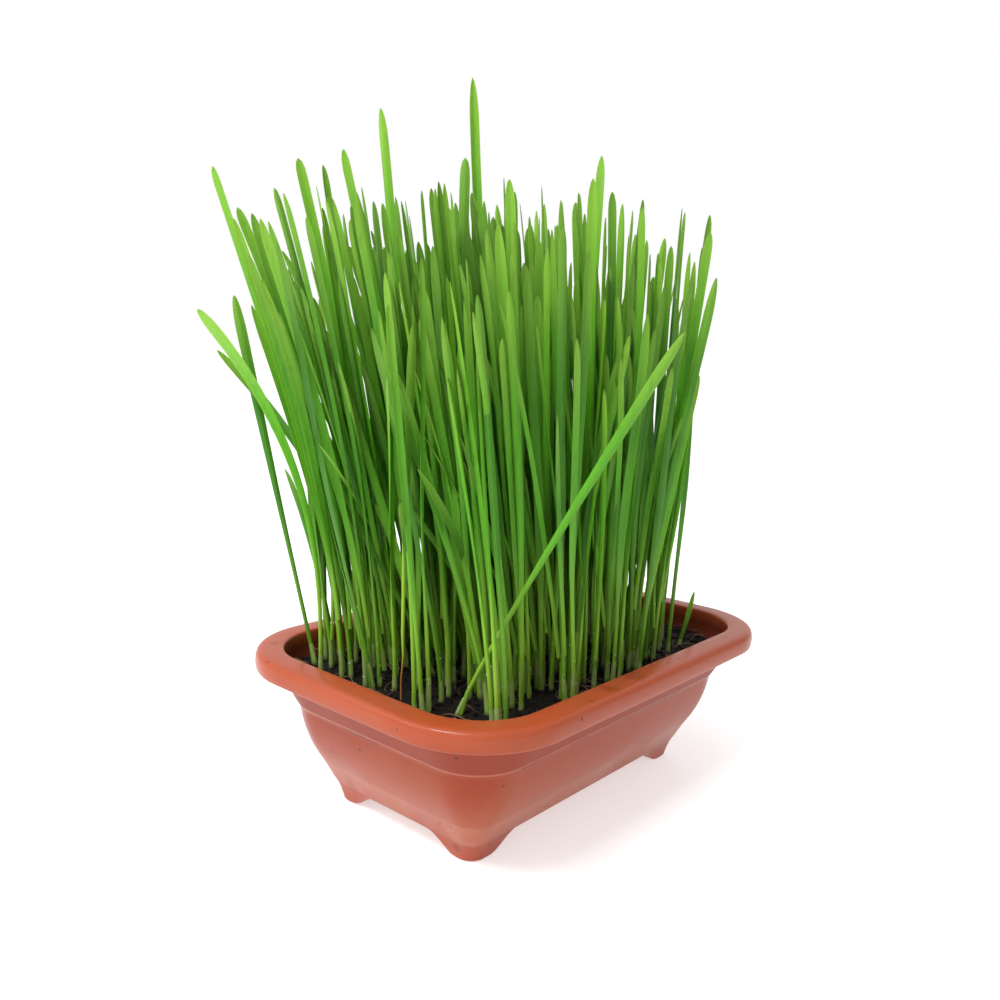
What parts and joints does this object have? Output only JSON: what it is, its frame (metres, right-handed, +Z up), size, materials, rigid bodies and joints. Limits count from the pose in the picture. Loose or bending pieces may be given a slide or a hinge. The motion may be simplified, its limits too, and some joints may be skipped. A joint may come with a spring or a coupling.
{
  "type": "wheatgrass tray",
  "caption": "Dense stand of young wheatgrass growing from soil in a rectangular footed plastic tray with a rounded lip, for cutting as a herb or for decoration.",
  "frame": {"origin": "middle of the whole object's bounding box, on the surface that the tray's four feet stand on; the grass leans, so the tray's own middle lies beside it", "axes": "+Z up, along the grass; +Y along the tray's long side; +X along its short side"},
  "size_m": [0.189, 0.2256, 0.288],
  "materials": {
    "tray_plastic": "satin",
    "potting_soil": "matte",
    "wheat_leaf": "satin",
    "yellowing_leaf": "satin"
  },
  "bodies": {
    "root": {"front_shoot_to_left": "wheat_leaf", "front_shoot_to_right": "wheat_leaf", "outer_shoot": "wheat_leaf", "short_shoot_at_end": "wheat_leaf", "soil": "potting_soil", "splayed_shoot_high": "wheat_leaf", "splayed_shoot_low": "wheat_leaf", "tray": "tray_plastic", "wheat_tuft_01": "wheat_leaf", "wheat_tuft_02": "wheat_leaf", "wheat_tuft_03": "wheat_leaf", "wheat_tuft_04": "wheat_leaf", "wheat_tuft_05": "wheat_leaf", "wheat_tuft_06": "wheat_leaf", "wheat_tuft_07": "wheat_leaf", "wheat_tuft_08": "wheat_leaf", "wheat_tuft_09": "wheat_leaf", "wheat_tuft_10": "wheat_leaf", "wheat_tuft_11": "wheat_leaf", "wheat_tuft_12": "wheat_leaf", "wheat_tuft_13": "wheat_leaf", "wheat_tuft_14": "wheat_leaf", "wheat_tuft_15": "wheat_leaf", "wheat_tuft_16": "wheat_leaf", "wheat_tuft_17": "wheat_leaf", "wheat_tuft_18": "wheat_leaf", "wheat_tuft_19": "wheat_leaf", "wheat_tuft_20": "wheat_leaf", "wheat_tuft_21": "wheat_leaf", "wheat_tuft_22": "wheat_leaf", "wheat_tuft_23": "wheat_leaf", "wheat_tuft_24": "wheat_leaf", "wheat_tuft_25": "wheat_leaf", "wheat_tuft_26": "wheat_leaf", "wheat_tuft_27": "wheat_leaf", "wheat_tuft_28": "wheat_leaf", "wheat_tuft_29": "wheat_leaf", "wheat_tuft_30": "wheat_leaf", "wheat_tuft_31": "wheat_leaf", "wheat_tuft_32": "wheat_leaf", "wheat_tuft_33": "wheat_leaf", "wheat_tuft_34": "wheat_leaf", "wheat_tuft_35": "wheat_leaf", "wheat_tuft_36": "wheat_leaf", "wheat_tuft_37": "wheat_leaf", "wheat_tuft_38": "wheat_leaf", "wheat_tuft_39": "wheat_leaf", "wheat_tuft_40": "wheat_leaf", "wheat_tuft_41": "wheat_leaf", "wheat_tuft_42": "wheat_leaf", "wheat_tuft_43": "wheat_leaf", "wheat_tuft_44": "wheat_leaf", "wheat_tuft_45": "wheat_leaf", "wheat_tuft_46": "wheat_leaf", "wheat_tuft_47": "wheat_leaf", "wheat_tuft_48": "wheat_leaf", "wheat_tuft_49": "wheat_leaf", "wheat_tuft_50": "wheat_leaf", "wheat_tuft_51": "wheat_leaf", "yellowing_shoot": "yellowing_leaf"}
  },
  "joints": []
}
